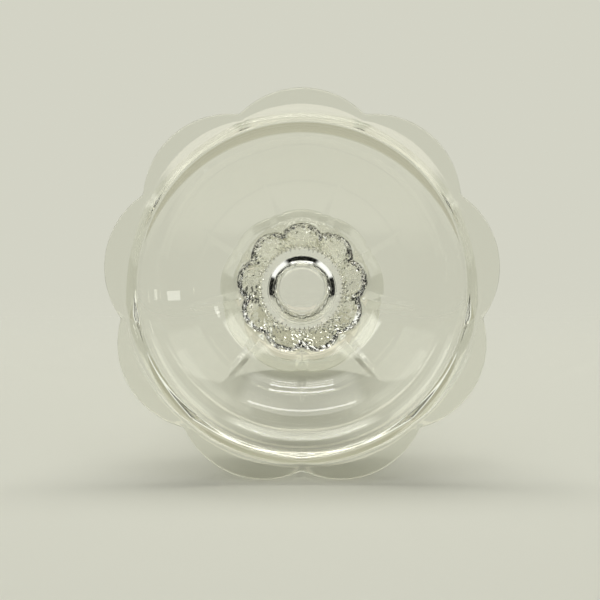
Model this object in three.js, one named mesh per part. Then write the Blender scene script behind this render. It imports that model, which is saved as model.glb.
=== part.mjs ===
// Crystal candlestick in clear pressed glass: a scalloped hollow foot, a lobed knop, a thin joining wafer
// and a tulip candle cup, stacked on one upright axis and fused flat face to flat face.
// Millimetres, +Z up. The origin is on the axis, in the plane that the foot stands on.
import * as THREE from "three";

// Driving dimensions of the petals
const PETAL_COUNT = 9;
const PETAL_TURN = THREE.MathUtils.degToRad(5); // centres the box round nine petals on the axis
const STEPS_PER_PETAL = 8;

// Driving dimensions of the foot
const FOOT_RADIUS = 62; // to a petal's tip
const NOTCH_DEPTH = 5; // from the tip circle down to the notch between two petals
const FLANGE_WIDTH = 6; // flat resting ring between a notch and the hollow
const HOLLOW_HEIGHT = 25;
const CEILING_RADIUS = 18.5; // flat roof of the hollow
const HOLLOW_STEP_HEIGHT = 5.2; // short steep wall at the mouth of the hollow
const HOLLOW_STEP_RUN = 3.2;
const CROWN_THICKNESS = 4.5; // glass between the hollow's roof and the knop
const RIM_THICKNESS = 4.4; // height of a petal's upright edge
const RIM_ROUND = 0.45; // broken corners of that edge
const RIM_RUN = 5; // width of the gentle shoulder above the edge
const RIM_RISE = 0.9; // height of that shoulder

// Driving dimensions of the knop and the wafer
const KNOP_RADIUS = 22;
const KNOP_HEIGHT = 8.5;
const KNOP_UNDERCUT = 0.8; // from the knop's widest ring in to its seat on the foot
const NECK_RADIUS = 13.2; // of the seats between knop, wafer and cup
const WAFER_THICKNESS = 2;
const WAFER_BULGE = 0.8; // the wafer's round edge beyond the seats

// Driving dimensions of the candle cup
const CUP_HEIGHT = 50;
const CUP_RADIUS = 30.3; // to a lobe of the rim
const CUP_LIP = 1.2; // thickness of the rounded rim
const DISH_DEPTH = 13.4; // from the rim down to the land round the socket
const LAND_WIDTH = 2.6;
const SOCKET_RADIUS = 11.5; // takes a candle of 22 mm
const SOCKET_DRAFT = 0.6; // the socket narrows by this much towards its floor
const SOCKET_CHAMFER = 2.2;
const SOCKET_ROUND = 0.4; // broken edge at the socket's mouth
const SOCKET_FLOOR_THICKNESS = 7.5; // glass under the candle
const CUP_WALL = 8; // glass beside the socket

// Places that follow from the driving dimensions
const NOTCH_RADIUS = FOOT_RADIUS - NOTCH_DEPTH;
const HOLLOW_RADIUS = NOTCH_RADIUS - FLANGE_WIDTH;
const FOOT_HEIGHT = HOLLOW_HEIGHT + CROWN_THICKNESS;
const SEAT_RADIUS = KNOP_RADIUS - KNOP_UNDERCUT;
const WAFER_BASE = FOOT_HEIGHT + KNOP_HEIGHT;
const CUP_BASE = WAFER_BASE + WAFER_THICKNESS;

// Shares of the petals' scallop that a ring of glass follows: 0 is round, 1 is the outline of the foot
const ROUND = 0;
const FAINT = 0.1;
const SHALLOW = 0.6;
const FULL = 1;
const DEEP = 1.5;

// A point of a profile holds its distance from the axis, its height and its share of the scallop.
function point(radius, height, scallop = ROUND) {
  return new THREE.Vector3(radius, height, scallop);
}

// A point part of the way from one point to another, outward and upward by separate shares.
function between(from, to, outwardShare, upwardShare, scallop = ROUND) {
  const radius = THREE.MathUtils.lerp(from.x, to.x, outwardShare);
  const height = THREE.MathUtils.lerp(from.y, to.y, upwardShare);
  return point(radius, height, scallop);
}

// A straight stretch of a profile, from where the last stretch ended.
function line(to) {
  return { steps: 1, path: (from) => new THREE.LineCurve3(from, to) };
}

// A curved stretch of a profile, drawn towards two points on its way.
function curve(firstPull, secondPull, to, steps) {
  return { steps, path: (from) => new THREE.CubicBezierCurve3(from, firstPull, secondPull, to) };
}

// Joins the stretches into one list of points.
function profile(start, ...stretches) {
  const points = [start];
  for (const stretch of stretches) {
    const path = stretch.path(points.at(-1));
    points.push(...path.getPoints(stretch.steps).slice(1));
  }
  return points;
}

// Radius of the foot's outline over its tip radius. Each petal is an arc of a circle that meets its
// neighbours on the notch circle, and a notch lies at angle 0.
function scallopRatio(angle) {
  const spacing = (2 * Math.PI) / PETAL_COUNT;
  const fromTip = (angle % spacing) - spacing / 2;
  const notchReach = NOTCH_RADIUS * Math.cos(spacing / 2);
  const arcCentre = (FOOT_RADIUS ** 2 - NOTCH_RADIUS ** 2) / (2 * (FOOT_RADIUS - notchReach));
  const arcRadius = FOOT_RADIUS - arcCentre;
  const across = arcCentre * Math.sin(fromTip);
  const outline = arcCentre * Math.cos(fromTip) + Math.sqrt(arcRadius ** 2 - across ** 2);
  return outline / FOOT_RADIUS;
}

// Turns a profile about the axis, then draws each of its rings in between the petals by its share.
function petalRevolve(points) {
  const segments = PETAL_COUNT * STEPS_PER_PETAL;
  const outline = points.map((place) => new THREE.Vector2(place.x, place.y));
  const geometry = new THREE.LatheGeometry(outline, segments);
  const position = geometry.attributes.position;
  for (let index = 0; index < position.count; index += 1) {
    const ring = points[index % points.length];
    const column = Math.floor(index / points.length) % segments;
    const ratio = scallopRatio((2 * Math.PI * column) / segments);
    const pull = THREE.MathUtils.lerp(1, ratio, ring.z);
    position.setX(index, position.getX(index) * pull);
    position.setZ(index, position.getZ(index) * pull);
  }
  geometry.rotateX(Math.PI / 2);
  return geometry;
}

// Foot: a domed shell of even thickness on a flat scalloped flange, with a round hollow underneath.
function petalFoot() {
  const roof = point(CEILING_RADIUS, HOLLOW_HEIGHT);
  const step = point(HOLLOW_RADIUS - HOLLOW_STEP_RUN, HOLLOW_STEP_HEIGHT);
  const domeTop = between(roof, step, 0.3, 0);
  const domeSide = between(roof, step, 0.75, 0.6);
  const mouth = point(HOLLOW_RADIUS, 0);
  const stepTop = between(step, mouth, 0.4, 0.27);
  const stepSide = between(step, mouth, 0.8, 0.6);
  const underEdge = point(FOOT_RADIUS - RIM_ROUND, 0, FULL);
  const lowerWall = point(FOOT_RADIUS, RIM_ROUND, FULL);
  const upperWall = point(FOOT_RADIUS, RIM_THICKNESS - RIM_ROUND, FULL);
  const upperEdge = point(FOOT_RADIUS - RIM_ROUND, RIM_THICKNESS, FULL);
  const rim = point(FOOT_RADIUS - RIM_RUN, RIM_THICKNESS + RIM_RISE, SHALLOW);
  const rimSide = between(upperEdge, rim, 0.35, 0.2, FULL);
  const rimTop = between(upperEdge, rim, 0.7, 0.6, FULL);
  const seat = point(SEAT_RADIUS, FOOT_HEIGHT, FAINT);
  const petalSide = between(rim, seat, 0.26, 0.16, FAINT);
  const petalTop = between(rim, seat, 0.58, 0.86, FAINT);
  return petalRevolve(
    profile(
      point(0, HOLLOW_HEIGHT),
      line(roof),
      curve(domeTop, domeSide, step, 8),
      curve(stepTop, stepSide, mouth, 3),
      line(underEdge),
      line(lowerWall),
      line(upperWall),
      line(upperEdge),
      curve(rimSide, rimTop, rim, 3),
      curve(petalSide, petalTop, seat, 9),
      line(point(0, FOOT_HEIGHT)),
    ),
  );
}

// Knop: a low melon of nine deep lobes, widest just above the foot, that draws in to the neck.
function lobedKnop() {
  const seat = point(SEAT_RADIUS, 0, DEEP);
  const lobeFoot = point(KNOP_RADIUS, KNOP_HEIGHT * 0.1, DEEP);
  const lobeSide = point(KNOP_RADIUS, KNOP_HEIGHT * 0.4, DEEP);
  const shoulder = point(KNOP_RADIUS - KNOP_HEIGHT / 4, KNOP_HEIGHT * 0.65, DEEP);
  const neck = point(NECK_RADIUS, KNOP_HEIGHT);
  return petalRevolve(
    profile(
      point(0, 0),
      line(seat),
      curve(lobeFoot, lobeSide, shoulder, 5),
      curve(between(shoulder, neck, 0.35, 0.5, FULL), between(shoulder, neck, 0.8, 0.7, FAINT), neck, 4),
      line(point(0, KNOP_HEIGHT)),
    ),
  );
}

// Wafer: the button of glass that joins the cup to the knop, with a half-round edge.
function joiningWafer() {
  const under = point(NECK_RADIUS, 0);
  const over = point(NECK_RADIUS, WAFER_THICKNESS);
  const edge = NECK_RADIUS + (WAFER_BULGE * 4) / 3;
  return petalRevolve(
    profile(
      point(0, 0),
      line(under),
      curve(point(edge, 0), point(edge, WAFER_THICKNESS), over, 4),
      line(point(0, WAFER_THICKNESS)),
    ),
  );
}

// Cup: a thick tulip that opens to a lobed rim, with a sloping dish, a flat land and a tapered socket.
function candleCup() {
  const neck = point(NECK_RADIUS, 0);
  const belly = point(SOCKET_RADIUS + CUP_WALL, CUP_HEIGHT * 0.32, FULL);
  const waist = point(SOCKET_RADIUS + CUP_WALL * 0.8, CUP_HEIGHT * 0.68, FULL);
  const lipOutside = point(CUP_RADIUS, CUP_HEIGHT - CUP_LIP, SHALLOW);
  const lipInside = point(CUP_RADIUS - CUP_LIP, CUP_HEIGHT - CUP_LIP / 3, SHALLOW);
  const lipTop = CUP_HEIGHT + CUP_LIP / 4;
  const lipRise = point(CUP_RADIUS, lipTop, SHALLOW);
  const lipFall = point(CUP_RADIUS - CUP_LIP / 2, lipTop, SHALLOW);
  const landHeight = CUP_HEIGHT - DISH_DEPTH;
  const land = point(SOCKET_RADIUS + LAND_WIDTH, landHeight);
  const dishSide = between(lipInside, land, 0.33, 0.43, FAINT);
  const dishFoot = between(lipInside, land, 0.75, 1);
  const landEdge = point(SOCKET_RADIUS + SOCKET_ROUND, landHeight);
  const mouth = point(SOCKET_RADIUS, landHeight - SOCKET_ROUND);
  const wallFoot = SOCKET_RADIUS - SOCKET_DRAFT;
  const chamferTop = point(wallFoot, SOCKET_FLOOR_THICKNESS + SOCKET_CHAMFER * 1.3);
  const chamferFoot = point(wallFoot - SOCKET_CHAMFER, SOCKET_FLOOR_THICKNESS + SOCKET_CHAMFER * 0.3);
  const floorEdge = point(wallFoot - SOCKET_CHAMFER * 2, SOCKET_FLOOR_THICKNESS);
  const bowlSide = between(chamferFoot, floorEdge, 0.3, 0.7);
  const bowlFoot = between(chamferFoot, floorEdge, 0.6, 1);
  return petalRevolve(
    profile(
      point(0, 0),
      line(neck),
      curve(belly, waist, lipOutside, 11),
      curve(lipRise, lipFall, lipInside, 3),
      curve(dishSide, dishFoot, land, 6),
      line(landEdge),
      line(mouth),
      line(chamferTop),
      line(chamferFoot),
      curve(bowlSide, bowlFoot, floorEdge, 2),
      line(point(0, SOCKET_FLOOR_THICKNESS)),
    ),
  );
}

// Clear crystal, fire-polished.
function crystal(colour) {
  return new THREE.MeshStandardMaterial({
    color: colour,
    roughness: 0.03,
    metalness: 0,
    transparent: true,
    opacity: 0.35,
  });
}

// One named piece of glass that stands at a height on the axis.
function piece(name, geometry, base, colour) {
  const mesh = new THREE.Mesh(geometry, crystal(colour));
  mesh.name = name;
  mesh.position.z = base;
  return mesh;
}

const candlestick = new THREE.Group();
candlestick.rotation.z = PETAL_TURN;
candlestick.add(
  piece("petal_foot", petalFoot(), 0, 0xf1f4ee),
  piece("lobed_knop", lobedKnop(), FOOT_HEIGHT, 0xf4f6f2),
  piece("joining_wafer", joiningWafer(), WAFER_BASE, 0xf4f6f2),
  piece("candle_cup", candleCup(), CUP_BASE, 0xf2f5f0),
);

export default candlestick;
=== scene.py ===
import bpy
import math
from mathutils import Matrix, Vector, noise


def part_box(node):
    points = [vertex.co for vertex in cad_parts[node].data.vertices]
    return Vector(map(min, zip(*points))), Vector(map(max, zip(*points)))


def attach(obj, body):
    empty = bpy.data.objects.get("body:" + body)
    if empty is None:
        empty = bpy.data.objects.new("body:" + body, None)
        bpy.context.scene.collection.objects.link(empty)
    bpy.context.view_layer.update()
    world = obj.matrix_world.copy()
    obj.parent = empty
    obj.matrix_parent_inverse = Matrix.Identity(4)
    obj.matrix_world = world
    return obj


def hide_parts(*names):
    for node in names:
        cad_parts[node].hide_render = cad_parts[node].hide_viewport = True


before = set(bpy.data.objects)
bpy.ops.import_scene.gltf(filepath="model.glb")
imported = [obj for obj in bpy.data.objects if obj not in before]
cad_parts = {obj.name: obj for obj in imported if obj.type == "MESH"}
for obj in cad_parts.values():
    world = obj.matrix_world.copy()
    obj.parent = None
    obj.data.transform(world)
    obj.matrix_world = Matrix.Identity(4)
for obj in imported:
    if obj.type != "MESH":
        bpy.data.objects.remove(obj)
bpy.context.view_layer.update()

# Foot
# A domed shell of clear pressed crystal with nine petals, a flat flange to stand on and a round hollow
# underneath, left by the plunger of the press. Its crown is fused to the knop while both are hot.
# Lengths are in millimetres, except for lamps and cards, where they are in metres.
MM = 0.001
PETALS = 9
PETAL_TURN = math.radians(5)
PETAL_SPACING = 2 * math.pi / PETALS
NOTCH_SOFTNESS = math.radians(0.4)
FOOT_RADIUS = 62.0
NOTCH_RADIUS = 57.0
HOLLOW_RADIUS = 51.0
HOLLOW_HEIGHT = 25.0
HOLLOW_STEP_HEIGHT = 5.2
HOLLOW_STEP_RUN = 3.2
MOUTH_ROUND = 0.4
ROOF_RADIUS = 18.5
RIM_THICKNESS = 4.4
RIM_ROUND = 0.45
RIM_RUN = 6.2
RIM_RISE = 0.3
BEVEL_END = 56.6
BEVEL_RISE = 1.0
BEVEL_SCALLOP = 0.4
SEAT_RADIUS = 21.2
KNOP_SEAT = 21.1
KNOP_SCALLOP = 1.5
CREASE_DEPTH = 1.4
CREASE_WIDTH = 3.0
CREASE_TAPER = 0.3
CREASE_END = 38.0
FOOT_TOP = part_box("petal_foot")[1].z / MM
FOOT_COLUMNS = PETALS * 64
SHARP_EDGE = math.radians(32)

# Shares of the petals' scallop that a ring of glass follows
ROUND = 0.0
FAINT = 0.1
SHALLOW = 0.6
FULL = 1.0


def point(radius, height, scallop=ROUND):
    """A point of a profile: its distance from the axis, its height and its share of the scallop."""
    return Vector((radius, height, scallop))


def between(start, end, outward, upward, scallop=None):
    """A point part of the way from one point to another, outward and upward by separate shares."""
    if scallop is None:
        scallop = start.z + (end.z - start.z) * outward
    return point(start.x + (end.x - start.x) * outward, start.y + (end.y - start.y) * upward, scallop)


def curve(start, first_pull, second_pull, end, steps):
    """The points after start on a curve that is drawn towards two points on its way to end."""
    points = []
    for step in range(1, steps + 1):
        gone = step / steps
        left = 1 - gone
        near_start = left ** 3 * start + 3 * left ** 2 * gone * first_pull
        near_end = 3 * left * gone ** 2 * second_pull + gone ** 3 * end
        points.append(near_start + near_end)
    return points


def straight(start, end, steps):
    """The points after start on a straight run to end."""
    return [start.lerp(end, step / steps) for step in range(1, steps + 1)]


def scallop_ratio(angle):
    """Radius of the foot's outline over its tip radius: arcs of circles that meet in softened notches."""
    half = PETAL_SPACING / 2
    from_notch = half - abs((angle - math.pi / 2 + half) % PETAL_SPACING - half)
    from_tip = half - math.hypot(from_notch, NOTCH_SOFTNESS)
    reach = NOTCH_RADIUS * math.cos(half)
    arc_centre = (FOOT_RADIUS ** 2 - NOTCH_RADIUS ** 2) / (2 * (FOOT_RADIUS - reach))
    arc_radius = FOOT_RADIUS - arc_centre
    across = arc_centre * math.sin(from_tip)
    return (arc_centre * math.cos(from_tip) + math.sqrt(arc_radius ** 2 - across ** 2)) / FOOT_RADIUS


def revolve(name, profile, columns, base=0.0, carve=None):
    """A closed mesh from a profile that starts and ends on the axis. carve moves a ring's points outward."""
    vertices = [(0, 0, (base + profile[0].y) * MM), (0, 0, (base + profile[-1].y) * MM)]
    rings = profile[1:-1]
    for row, ring in enumerate(rings):
        for column in range(columns):
            angle = 2 * math.pi * column / columns + math.pi / 2
            radius = ring.x * (1 + ring.z * (scallop_ratio(angle) - 1))
            if carve:
                radius += carve(angle, row, ring)
            turned = angle + PETAL_TURN
            place = (radius * math.cos(turned) * MM, radius * math.sin(turned) * MM, (base + ring.y) * MM)
            vertices.append(place)
    faces = []
    last = 2 + (len(rings) - 1) * columns
    for column in range(columns):
        following = (column + 1) % columns
        faces.append((0, 2 + following, 2 + column))
        faces.append((1, last + column, last + following))
        for row in range(len(rings) - 1):
            low = 2 + row * columns
            high = low + columns
            faces.append((low + column, low + following, high + following, high + column))
    mesh = bpy.data.meshes.new(name)
    mesh.from_pydata(vertices, [], faces)
    mesh.shade_smooth()
    mesh.set_sharp_from_angle(angle=SHARP_EDGE)
    piece = bpy.data.objects.new(name, mesh)
    bpy.context.scene.collection.objects.link(piece)
    return piece


def ripple_group():
    """Slow waves left in the glass by the press, as a normal. Strength sets how deep they are."""
    group = bpy.data.node_groups.new("glass_ripple", "ShaderNodeTree")
    group.interface.new_socket("Strength", in_out="INPUT", socket_type="NodeSocketFloat")
    group.interface.new_socket("Normal", in_out="OUTPUT", socket_type="NodeSocketVector")
    nodes, links = group.nodes, group.links
    entry = nodes.new("NodeGroupInput")
    result = nodes.new("NodeGroupOutput")
    place = nodes.new("ShaderNodeTexCoord")
    waves = nodes.new("ShaderNodeTexNoise")
    waves.inputs["Scale"].default_value = 90.0
    waves.inputs["Detail"].default_value = 1.0
    links.new(place.outputs["Object"], waves.inputs["Vector"])
    bump = nodes.new("ShaderNodeBump")
    bump.inputs["Distance"].default_value = 0.0004
    links.new(entry.outputs["Strength"], bump.inputs["Strength"])
    links.new(waves.outputs["Fac"], bump.inputs["Height"])
    links.new(bump.outputs["Normal"], result.inputs["Normal"])
    return group


glass_ripple = ripple_group()


def crystal(name, tint, ripple):
    """Clear polished glass. Lamps shine through it with a little loss, so that its shadow stays pale."""
    material = bpy.data.materials.new(name)
    material.use_nodes = True
    nodes, links = material.node_tree.nodes, material.node_tree.links
    glass = nodes["Principled BSDF"]
    glass.inputs["Base Color"].default_value = (*tint, 1)
    glass.inputs["Roughness"].default_value = 0.0
    glass.inputs["IOR"].default_value = 1.52
    glass.inputs["Transmission Weight"].default_value = 1.0
    waves = nodes.new("ShaderNodeGroup")
    waves.node_tree = glass_ripple
    waves.inputs["Strength"].default_value = ripple
    links.new(waves.outputs["Normal"], glass.inputs["Normal"])
    passed = nodes.new("ShaderNodeBsdfTransparent")
    passed.inputs["Color"].default_value = (0.81, 0.81, 0.79, 1)
    turned_away = nodes.new("ShaderNodeBsdfTransparent")
    turned_away.inputs["Color"].default_value = (0.25, 0.25, 0.24, 1)
    slant = nodes.new("ShaderNodeLayerWeight")
    slant.inputs["Blend"].default_value = 0.2
    shade = nodes.new("ShaderNodeMixShader")
    links.new(slant.outputs["Facing"], shade.inputs["Fac"])
    links.new(passed.outputs["BSDF"], shade.inputs[1])
    links.new(turned_away.outputs["BSDF"], shade.inputs[2])
    path = nodes.new("ShaderNodeLightPath")
    mix = nodes.new("ShaderNodeMixShader")
    links.new(path.outputs["Is Shadow Ray"], mix.inputs["Fac"])
    links.new(glass.outputs["BSDF"], mix.inputs[1])
    links.new(shade.outputs["Shader"], mix.inputs[2])
    links.new(mix.outputs["Shader"], nodes["Material Output"].inputs["Surface"])
    return material


def fused_seam():
    """The flat face where two pieces were fused hot: nothing of it shows inside the glass."""
    material = bpy.data.materials.new("fused_seam")
    material.use_nodes = True
    glass = material.node_tree.nodes["Principled BSDF"]
    glass.inputs["Base Color"].default_value = (0.96, 0.97, 0.95, 1)
    glass.inputs["Alpha"].default_value = 0.0
    return material


def finish_piece(piece, node, glass, seams):
    """Gives a piece its glass, its see-through seams and its place in the part. A seam is a pole vertex."""
    piece.data.materials.append(glass)
    piece.data.materials.append(seam_glass)
    for face in piece.data.polygons:
        if len(face.vertices) == 3 and min(face.vertices) in seams:
            face.material_index = 1
    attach(piece, "root")
    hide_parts(node)


# The two ends of a profile on the axis, as vertex numbers of its mesh
LOWER_POLE = 0
UPPER_POLE = 1
seam_glass = fused_seam()

roof = point(ROOF_RADIUS, HOLLOW_HEIGHT)
hollow_step = point(HOLLOW_RADIUS - HOLLOW_STEP_RUN, HOLLOW_STEP_HEIGHT)
mouth = point(HOLLOW_RADIUS - MOUTH_ROUND / 3, MOUTH_ROUND)
flange = point(HOLLOW_RADIUS + MOUTH_ROUND, 0)
bevel_end = point(BEVEL_END, BEVEL_RISE, BEVEL_SCALLOP)
under_edge = point(FOOT_RADIUS - RIM_ROUND, BEVEL_RISE, FULL)
lower_wall = point(FOOT_RADIUS, BEVEL_RISE + RIM_ROUND, FULL)
upper_wall = point(FOOT_RADIUS, RIM_THICKNESS - RIM_ROUND, FULL)
upper_edge = point(FOOT_RADIUS - RIM_ROUND, RIM_THICKNESS, FULL)
rim = point(FOOT_RADIUS - RIM_RUN, RIM_THICKNESS + RIM_RISE)
seat = point(SEAT_RADIUS, FOOT_TOP, FAINT)
knop_edge = point(KNOP_SEAT, FOOT_TOP, KNOP_SCALLOP)
foot_profile = [point(0, HOLLOW_HEIGHT), between(point(0, 0), roof, 0.98, 1), roof]
foot_profile += curve(roof, between(roof, hollow_step, 0.3, 0),
                      between(roof, hollow_step, 0.75, 0.6), hollow_step, 40)
foot_profile += curve(hollow_step, between(hollow_step, mouth, 0.4, 0.27),
                      between(hollow_step, mouth, 0.8, 0.6), mouth, 12)
foot_profile += curve(mouth, point(HOLLOW_RADIUS, 0.1), point(HOLLOW_RADIUS + 0.1, 0), flange, 8)
foot_profile += straight(flange, bevel_end, 6)
foot_profile += straight(bevel_end, under_edge, 6)
foot_profile += curve(under_edge, between(under_edge, lower_wall, 0.6, 0, FULL),
                      between(under_edge, lower_wall, 1, 0.4, FULL), lower_wall, 6)
foot_profile += curve(upper_wall, between(upper_wall, upper_edge, 0, 0.6, FULL),
                      between(upper_wall, upper_edge, 0.4, 1, FULL), upper_edge, 6)
foot_profile += straight(upper_edge, rim, 6)
crown_start = len(foot_profile) - 1
foot_profile += curve(rim, between(rim, seat, 0.3, 0.136, ROUND),
                      between(rim, seat, 0.48, 0.8, FAINT), seat, 70)
crown_rows = range(crown_start, len(foot_profile) - 1)
foot_profile += [knop_edge, point(0, FOOT_TOP)]


def petal_crease(angle, row, ring):
    """Depth of the grooves that part the petals on top of the foot: deepest at the knop, gone at the rim."""
    if row not in crown_rows:
        return 0.0
    fade = min(1.0, max(0.0, (CREASE_END - ring.x) / (CREASE_END - SEAT_RADIUS)))
    from_notch = abs((angle - math.pi / 2) % PETAL_SPACING - PETAL_SPACING / 2)
    narrowing = CREASE_TAPER + (1 - CREASE_TAPER) * fade
    across = ring.x * from_notch / (CREASE_WIDTH * narrowing)
    return -CREASE_DEPTH * fade * max(0.0, 1 - across)


petal_foot = revolve("petal_foot_glass", foot_profile, FOOT_COLUMNS, 0.0, petal_crease)
foot_glass = crystal("foot_crystal", (0.955, 0.958, 0.905), 0.03)
finish_piece(petal_foot, "petal_foot", foot_glass, {UPPER_POLE})

# Knop
# A low melon of nine lobes on the crown of the foot. It is cut on the wheel with fine fans, which
# sparkle through the foot, and is fused between the foot and the wafer.
KNOP_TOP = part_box("lobed_knop")[1].z / MM
KNOP_RADIUS = 22.0
KNOP_HEIGHT = KNOP_TOP - FOOT_TOP
NECK_RADIUS = 13.2
KNOP_COLUMNS = PETALS * 18
FACET_SCALE = 1.7
FACET_DEPTH = 0.4

knop_seat = point(KNOP_SEAT, 0, KNOP_SCALLOP)
shoulder = point(KNOP_RADIUS - KNOP_HEIGHT / 4, KNOP_HEIGHT * 0.65, KNOP_SCALLOP)
knop_neck = point(NECK_RADIUS, KNOP_HEIGHT)
knop_profile = [point(0, 0), knop_seat]
knop_profile += curve(knop_seat, point(KNOP_RADIUS, KNOP_HEIGHT * 0.1, KNOP_SCALLOP),
                      point(KNOP_RADIUS, KNOP_HEIGHT * 0.4, KNOP_SCALLOP), shoulder, 6)
knop_profile += curve(shoulder, between(shoulder, knop_neck, 0.35, 0.5, FULL),
                      between(shoulder, knop_neck, 0.8, 0.7, FAINT), knop_neck, 8)
knop_profile += [point(0, KNOP_HEIGHT)]
knop_top_row = len(knop_profile) - 3


def facet_cut(angle, row, ring):
    """Unevenness of the small wheel-cut facets, none of it at the two seats."""
    if row in (0, knop_top_row):
        return 0.0
    spot = Vector((math.cos(angle) * ring.x, math.sin(angle) * ring.x, ring.y))
    return FACET_DEPTH * noise.noise(spot * FACET_SCALE)


lobed_knop = revolve("lobed_knop_glass", knop_profile, KNOP_COLUMNS, FOOT_TOP, facet_cut)
lobed_knop.data.shade_flat()
knop_glass = crystal("knop_crystal", (0.97, 0.965, 0.9), 0.0)
finish_piece(lobed_knop, "lobed_knop", knop_glass, {LOWER_POLE, UPPER_POLE})

# Wafer
# A thin button of crystal that joins the cup to the knop, set between them while all three are hot. Its
# round edge is pressed into a row of small uneven beads.
WAFER_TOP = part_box("joining_wafer")[1].z / MM
WAFER_THICKNESS = WAFER_TOP - KNOP_TOP
WAFER_BULGE = 0.8
WAFER_BEADS = PETALS * 6
BEAD_DEPTH = 1.8
BEAD_UNEVENNESS = 0.7
WAFER_COLUMNS = WAFER_BEADS * 4

wafer_under = point(NECK_RADIUS, 0)
wafer_over = point(NECK_RADIUS, WAFER_THICKNESS)
wafer_edge = NECK_RADIUS + WAFER_BULGE * 4 / 3
wafer_profile = [point(0, 0), wafer_under]
wafer_profile += curve(wafer_under, point(wafer_edge, 0), point(wafer_edge, WAFER_THICKNESS), wafer_over, 6)
wafer_profile += [point(0, WAFER_THICKNESS)]


def bead_cut(angle, row, ring):
    """Draws the edge in between two beads, by as much as it stands out from the seats."""
    between_beads = abs(math.sin(angle * WAFER_BEADS / 2))
    spot = Vector((math.cos(angle), math.sin(angle), 0)) * NECK_RADIUS
    depth = BEAD_DEPTH * (1 + BEAD_UNEVENNESS * noise.noise(spot))
    return -(ring.x - NECK_RADIUS) * depth * (1 - between_beads)


joining_wafer = revolve("joining_wafer_glass", wafer_profile, WAFER_COLUMNS, KNOP_TOP, bead_cut)
joining_wafer.data.shade_flat()
wafer_glass = crystal("wafer_crystal", (0.975, 0.97, 0.93), 0.0)
finish_piece(joining_wafer, "joining_wafer", wafer_glass, {LOWER_POLE, UPPER_POLE})

# Candle cup
# A thick tulip of pressed crystal that opens to a lobed rim. A sloping dish leads down to a flat land
# round a tapered socket, whose chamfered floor carries the candle. It is fused to the wafer.
CUP_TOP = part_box("candle_cup")[1].z / MM
CUP_HEIGHT = 50.0
CUP_RADIUS = 30.3
CUP_LIP = 1.2
CUP_WALL = 8.0
DISH_DEPTH = 13.4
LAND_WIDTH = 2.6
SOCKET_RADIUS = 11.5
SOCKET_DRAFT = 0.6
SOCKET_CHAMFER = 2.2
SOCKET_ROUND = 0.4
SOCKET_FLOOR_THICKNESS = 7.5
CUP_COLUMNS = PETALS * 40

cup_neck = point(NECK_RADIUS, 0)
belly = point(SOCKET_RADIUS + CUP_WALL, CUP_HEIGHT * 0.32, FULL)
waist = point(SOCKET_RADIUS + CUP_WALL * 0.8, CUP_HEIGHT * 0.68, FULL)
lip_outside = point(CUP_RADIUS, CUP_HEIGHT - CUP_LIP, SHALLOW)
lip_inside = point(CUP_RADIUS - CUP_LIP, CUP_HEIGHT - CUP_LIP / 3, SHALLOW)
lip_top = CUP_HEIGHT + CUP_LIP / 4
land_height = CUP_HEIGHT - DISH_DEPTH
land = point(SOCKET_RADIUS + LAND_WIDTH, land_height)
land_edge = point(SOCKET_RADIUS + SOCKET_ROUND, land_height)
socket_mouth = point(SOCKET_RADIUS, land_height - SOCKET_ROUND)
wall_foot = SOCKET_RADIUS - SOCKET_DRAFT
chamfer_top = point(wall_foot, SOCKET_FLOOR_THICKNESS + SOCKET_CHAMFER * 1.3)
chamfer_foot = point(wall_foot - SOCKET_CHAMFER, SOCKET_FLOOR_THICKNESS + SOCKET_CHAMFER * 0.3)
floor_edge = point(wall_foot - SOCKET_CHAMFER * 2, SOCKET_FLOOR_THICKNESS)
cup_profile = [point(0, 0), cup_neck]
cup_profile += curve(cup_neck, belly, waist, lip_outside, 60)
cup_profile += curve(lip_outside, point(CUP_RADIUS, lip_top, SHALLOW),
                     point(CUP_RADIUS - CUP_LIP / 2, lip_top, SHALLOW), lip_inside, 10)
cup_profile += curve(lip_inside, between(lip_inside, land, 0.33, 0.43, FAINT),
                     between(lip_inside, land, 0.75, 1, ROUND), land, 30)
cup_profile += [between(land, land_edge, 0.05, 0), land_edge]
cup_profile += curve(land_edge, point(SOCKET_RADIUS + SOCKET_ROUND / 3, land_height),
                     point(SOCKET_RADIUS, land_height - SOCKET_ROUND / 3), socket_mouth, 4)
cup_profile += [chamfer_top, chamfer_foot]
cup_profile += curve(chamfer_foot, between(chamfer_foot, floor_edge, 0.3, 0.6),
                     between(chamfer_foot, floor_edge, 0.65, 0.85), floor_edge, 8)
cup_profile += [point(0, SOCKET_FLOOR_THICKNESS)]
candle_cup = revolve("candle_cup_glass", cup_profile, CUP_COLUMNS, WAFER_TOP)
cup_glass = crystal("cup_crystal", (0.965, 0.968, 0.925), 0.03)
finish_piece(candle_cup, "candle_cup", cup_glass, {LOWER_POLE})

# Table top and floor
# Pale matt sheets for the shadows: one that the candlestick lies on in the photograph, touching the foot
# and the rim of the cup, and one that it stands on. Each shows from its upper side alone, and the first
# only from low angles, where a table is seen.
TABLE_COLOUR = (0.72, 0.72, 0.625)
SHEET_GAP = 0.4
SHEET_FADE = 0.2
FOOT_REST = 59.9
CUP_REST = 29.3
REST_INSET = 2.0
RESTS_APART = CUP_TOP - 2 * REST_INSET
LYING_TILT = math.atan2(FOOT_REST - CUP_REST, RESTS_APART)
TABLE_SIDE = 400.0
FLOOR_SIDE = 600.0


def combined(tree, operation, first, second):
    """Two values of a material joined by an operation, and held between nought and one."""
    joint = tree.nodes.new("ShaderNodeMath")
    joint.operation = operation
    joint.use_clamp = True
    tree.links.new(first, joint.inputs[0])
    tree.links.new(second, joint.inputs[1])
    return joint.outputs["Value"]


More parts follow.
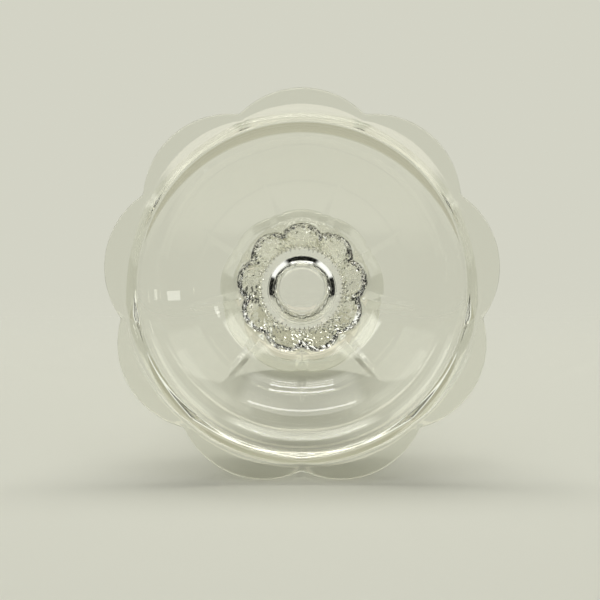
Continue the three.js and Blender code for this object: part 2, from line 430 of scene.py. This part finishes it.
def soft_edge_group():
    """A mask that is one in the middle of a flat sheet and fades to nothing at its edges. Inner is where
    the fade begins, as a share of the sheet's width from its middle."""
    group = bpy.data.node_groups.new("soft_edge", "ShaderNodeTree")
    group.interface.new_socket("Inner", in_out="INPUT", socket_type="NodeSocketFloat")
    group.interface.new_socket("Mask", in_out="OUTPUT", socket_type="NodeSocketFloat")
    nodes, links = group.nodes, group.links
    entry = nodes.new("NodeGroupInput")
    result = nodes.new("NodeGroupOutput")
    place = nodes.new("ShaderNodeTexCoord")
    centred = nodes.new("ShaderNodeVectorMath")
    centred.operation = "SUBTRACT"
    centred.inputs[1].default_value = (0.5, 0.5, 0.5)
    links.new(place.outputs["Generated"], centred.inputs[0])
    outward = nodes.new("ShaderNodeVectorMath")
    outward.operation = "ABSOLUTE"
    links.new(centred.outputs["Vector"], outward.inputs[0])
    apart = nodes.new("ShaderNodeSeparateXYZ")
    links.new(outward.outputs["Vector"], apart.inputs["Vector"])
    furthest = combined(group, "MAXIMUM", apart.outputs["X"], apart.outputs["Y"])
    fade = nodes.new("ShaderNodeMapRange")
    fade.inputs["From Min"].default_value = 0.5
    fade.interpolation_type = "SMOOTHSTEP"
    links.new(entry.outputs["Inner"], fade.inputs["From Max"])
    links.new(furthest, fade.inputs["Value"])
    links.new(fade.outputs["Result"], result.inputs["Mask"])
    return group


soft_edge = soft_edge_group()


def flat_sheet(name, width, height, material):
    """A rectangle on the stage, in its own plane."""
    mesh = bpy.data.meshes.new(name)
    corners = [(-width / 2, -height / 2, 0), (width / 2, -height / 2, 0),
               (width / 2, height / 2, 0), (-width / 2, height / 2, 0)]
    mesh.from_pydata(corners, [], [(0, 1, 2, 3)])
    mesh.materials.append(material)
    sheet = bpy.data.objects.new(name, mesh)
    bpy.context.scene.collection.objects.link(sheet)
    sheet.visible_shadow = False
    sheet.visible_diffuse = False
    return sheet


def pale_sheet(name, place, side_length, low_angles_only=False):
    """A square matt sheet that fades into the room, seen and lit from its upper side only. With
    low_angles_only it is hidden from a camera that looks down on it steeply."""
    material = bpy.data.materials.new(name)
    material.use_nodes = True
    tree = material.node_tree
    nodes, links = tree.nodes, tree.links
    paint = nodes["Principled BSDF"]
    paint.inputs["Base Color"].default_value = (*TABLE_COLOUR, 1)
    paint.inputs["Roughness"].default_value = 1.0
    paint.inputs["Specular IOR Level"].default_value = 0.0
    edge = nodes.new("ShaderNodeGroup")
    edge.node_tree = soft_edge
    edge.inputs["Inner"].default_value = SHEET_FADE
    side = nodes.new("ShaderNodeNewGeometry")
    shown = combined(tree, "SUBTRACT", edge.outputs["Mask"], side.outputs["Backfacing"])
    if low_angles_only:
        slant = nodes.new("ShaderNodeLayerWeight")
        slant.inputs["Blend"].default_value = 0.5
        steep = nodes.new("ShaderNodeMapRange")
        steep.inputs["From Min"].default_value = 0.5
        steep.inputs["From Max"].default_value = 0.36
        links.new(slant.outputs["Facing"], steep.inputs["Value"])
        path = nodes.new("ShaderNodeLightPath")
        hidden = combined(tree, "MULTIPLY", steep.outputs["Result"], path.outputs["Is Camera Ray"])
        shown = combined(tree, "SUBTRACT", shown, hidden)
    links.new(shown, paint.inputs["Alpha"])
    sheet = flat_sheet(name, side_length * MM, side_length * MM, material)
    sheet.matrix_world = place
    return sheet


turn = Matrix.Rotation(PETAL_TURN, 4, "Z")
lying_on = Matrix.Translation((0, -(FOOT_REST + SHEET_GAP) * MM, REST_INSET * MM))
lying_tilt = Matrix.Rotation(-math.pi / 2 - LYING_TILT, 4, "X")
pale_sheet("lying_table", turn @ lying_on @ lying_tilt, TABLE_SIDE, low_angles_only=True)
floor = pale_sheet("floor", Matrix.Translation((0, 0, -SHEET_GAP * MM)), FLOOR_SIDE)
floor.visible_glossy = False
floor.visible_transmission = False

# Light
# A broad lamp overhead, a skylight and four thin tubes in an even pale room. Cards stand round the
# candlestick for its glass alone: dark walls, grey and white panels with dark gaps between them, windows
# and a bright ceiling.
ROOM_COLOUR = (0.652, 0.652, 0.56)
ROOM_LIGHT = 0.33
LAMP_COLOUR = (1.0, 1.0, 0.97)
LAMP_AIM = 0.02
CARD_AIM = 0.05
CARD_FADE = 0.38
TUBE_DISTANCE = 0.6
TUBE_WIDTH = 0.008
# Each tube's tilt from the axis in degrees, its length and its power in watts
TUBES = ((67, 0.36, 0.1), (70, 0.36, 0.1), (79, 0.55, 0.09), (82, 0.55, 0.09))


def panel(name, place, target, width, height, power):
    """A flat lamp that faces a target. The camera doesn't see it directly."""
    lamp = bpy.data.lights.new(name, "AREA")
    lamp.shape = "RECTANGLE"
    lamp.size = width
    lamp.size_y = height
    lamp.energy = power
    lamp.color = LAMP_COLOUR
    holder = bpy.data.objects.new(name, lamp)
    bpy.context.scene.collection.objects.link(holder)
    aim = (Vector(target) - Vector(place)).to_track_quat("-Z", "Y")
    holder.matrix_world = turn @ Matrix.LocRotScale(Vector(place), aim, None)
    holder.visible_camera = False
    return holder


def card(name, tilt, bearing, distance, width, height, colour, reflected_only=False):
    """A soft-edged card that shows in the glass alone. Tilt is from the axis, in degrees, and bearing is
    round it as the photograph shows it, anticlockwise from the right."""
    material = bpy.data.materials.new(name)
    material.use_nodes = True
    tree = material.node_tree
    nodes, links = tree.nodes, tree.links
    glow = nodes["Principled BSDF"]
    glow.inputs["Base Color"].default_value = (0, 0, 0, 1)
    glow.inputs["Specular IOR Level"].default_value = 0.0
    glow.inputs["Emission Color"].default_value = (*colour, 1)
    glow.inputs["Emission Strength"].default_value = 1.0
    edge = nodes.new("ShaderNodeGroup")
    edge.node_tree = soft_edge
    edge.inputs["Inner"].default_value = CARD_FADE
    shown = edge.outputs["Mask"]
    if reflected_only:
        path = nodes.new("ShaderNodeLightPath")
        shown = combined(tree, "MINIMUM", shown, path.outputs["Glossy Depth"])
    links.new(shown, glow.inputs["Alpha"])
    sheet = flat_sheet(name, width, height, material)
    tilt, bearing = math.radians(tilt), math.radians(bearing)
    away = Vector((-math.sin(tilt) * math.cos(bearing), math.sin(tilt) * math.sin(bearing), math.cos(tilt)))
    across = Vector((-math.sin(bearing), -math.cos(bearing), 0))
    facing = Matrix((across, away.cross(across), away)).transposed().to_4x4()
    sheet.matrix_world = turn @ Matrix.Translation(away * distance + Vector((0, 0, CARD_AIM))) @ facing
    sheet.visible_camera = False


BLACK = (0.004, 0.004, 0.004)
PANEL_WHITE = (1.15, 1.16, 1.12)
WINDOW_WHITE = (4.0, 4.0, 3.8)
card("dark_room", 180, 90, 0.8, 1.7, 1.7, BLACK, reflected_only=True)
card("dark_top", 90, 90, 1.3, 5.0, 4.0, BLACK, reflected_only=True)
card("dark_left", 90, 180, 1.3, 2.6, 4.0, BLACK, reflected_only=True)
card("dark_right", 90, 0, 1.3, 2.6, 4.0, BLACK, reflected_only=True)
card("left_panel", 72, 140, 0.82, 0.74, 0.9, PANEL_WHITE)
card("right_panel", 72, 40, 0.82, 0.74, 0.9, PANEL_WHITE)
card("upper_gap", 73, 90, 0.55, 0.84, 0.54, BLACK, reflected_only=True)
card("left_gap", 86, 178, 0.55, 0.36, 0.17, BLACK, reflected_only=True)
card("right_gap", 86, 2, 0.55, 0.36, 0.17, BLACK, reflected_only=True)
card("far_grey", 28, 90, 1.6, 3.4, 0.9, (0.50, 0.49, 0.38))
card("upper_grey", 47, 90, 1.5, 2.6, 0.4, (0.42, 0.41, 0.32))
card("front_window", 136, 140, 0.7, 0.34, 0.22, (3.0, 3.0, 2.8), reflected_only=True)
card("side_window", 136, 40, 0.7, 0.34, 0.22, (2.4, 2.4, 2.2), reflected_only=True)
# Painted light: a small glowing card just over the mouth of the cup, seen through the socket, that brightens
# the lower part of the clear disc.
card("painted_light_over_cup", 11, -90, 0.047, 0.018, 0.0045, (0.74, 0.71, 0.6))
card("right_window", 103, 5, 0.6, 0.05, 0.06, WINDOW_WHITE, reflected_only=True)
card("right_lamp", 126, 16, 0.6, 0.05, 0.04, WINDOW_WHITE, reflected_only=True)
card("ceiling_glow", 108, 90, 0.75, 0.9, 0.34, (2.2, 2.2, 2.1), reflected_only=True)
card("ceiling", 154, 90, 0.7, 0.7, 0.26, (3.4, 3.2, 2.8), reflected_only=True)
overhead = panel("overhead", (0, 2.0, 0.24), (0, 0, LAMP_AIM), 2.6, 0.3, 29.2)
skylight = panel("skylight", (0, 0, 2.0), (0, 0, 0), 0.6, 0.6, 23.0)
for lamp in (overhead, skylight):
    lamp.visible_glossy = False
    lamp.visible_transmission = False
for tube, (degrees, length, power) in enumerate(TUBES):
    tilt = math.radians(degrees)
    spot = (0, TUBE_DISTANCE * math.sin(tilt), LAMP_AIM - TUBE_DISTANCE * math.cos(tilt))
    panel(f"tube_{tube}", spot, (0, 0, LAMP_AIM), length, TUBE_WIDTH, power)

# The room's own colour shows behind and through the glass, and an even white lights the matt sheets.
world = bpy.data.worlds.new("room")
bpy.context.scene.world = world
world.use_nodes = True
room_tree = world.node_tree
room_nodes, room_links = room_tree.nodes, room_tree.links
room = room_nodes["Background"]
room.inputs["Color"].default_value = (*ROOM_COLOUR, 1)
even = room_nodes.new("ShaderNodeBackground")
even.inputs["Color"].default_value = (1, 1, 1, 1)
even.inputs["Strength"].default_value = ROOM_LIGHT
room_path = room_nodes.new("ShaderNodeLightPath")
seen = combined(room_tree, "MAXIMUM", room_path.outputs["Is Camera Ray"], room_path.outputs["Is Glossy Ray"])
seen_through = combined(room_tree, "MAXIMUM", seen, room_path.outputs["Is Transmission Ray"])
not_lighting = combined(room_tree, "SUBTRACT", seen_through, room_path.outputs["Diffuse Depth"])
room_mix = room_nodes.new("ShaderNodeMixShader")
room_links.new(not_lighting, room_mix.inputs["Fac"])
room_links.new(even.outputs["Background"], room_mix.inputs[1])
room_links.new(room.outputs["Background"], room_mix.inputs[2])
room_links.new(room_mix.outputs["Shader"], room_nodes["World Output"].inputs["Surface"])

# Camera
# A long lens a little below the axis. It looks at the underside of the foot, as in the photograph, with one
# petal upright, so that knop, wafer and cup show through the glass of the foot.
IMAGE_SIDE = 600
AXIS_PIXEL = (302.0, 286.5)
TIP_PIXELS = 200.0
CAMERA_DISTANCE = 650.0
CAMERA_DROP = 14.0
camera_data = bpy.data.cameras.new("camera")
camera = bpy.data.objects.new("camera", camera_data)
bpy.context.scene.collection.objects.link(camera)
bpy.context.scene.camera = camera
focal_pixels = TIP_PIXELS / FOOT_RADIUS * CAMERA_DISTANCE
camera_data.sensor_width = 36.0
camera_data.lens = focal_pixels / IMAGE_SIDE * camera_data.sensor_width
lens_place = Vector((0, -CAMERA_DROP, -CAMERA_DISTANCE)) * MM
half_side = IMAGE_SIDE / 2
# The axis meets the foot's plane at AXIS_PIXEL, so the camera turns by the angles to that pixel.
axis_yaw = math.atan2(AXIS_PIXEL[0] - half_side, focal_pixels)
axis_pitch = math.atan2(half_side - AXIS_PIXEL[1], focal_pixels)
towards_axis = math.atan2(CAMERA_DROP, CAMERA_DISTANCE)
facing_up = Matrix(((-1, 0, 0, 0), (0, 1, 0, 0), (0, 0, -1, 0), (0, 0, 0, 1)))
aim = Matrix.Rotation(axis_yaw, 4, "Y") @ Matrix.Rotation(towards_axis - axis_pitch, 4, "X")
camera.matrix_world = turn @ Matrix.Translation(lens_place) @ facing_up @ aim

bpy.context.scene.view_settings.view_transform = "Standard"
# A line of sight crosses six clear seams and several clear parts of sheets and cards.
bpy.context.scene.cycles.transparent_max_bounces = 32
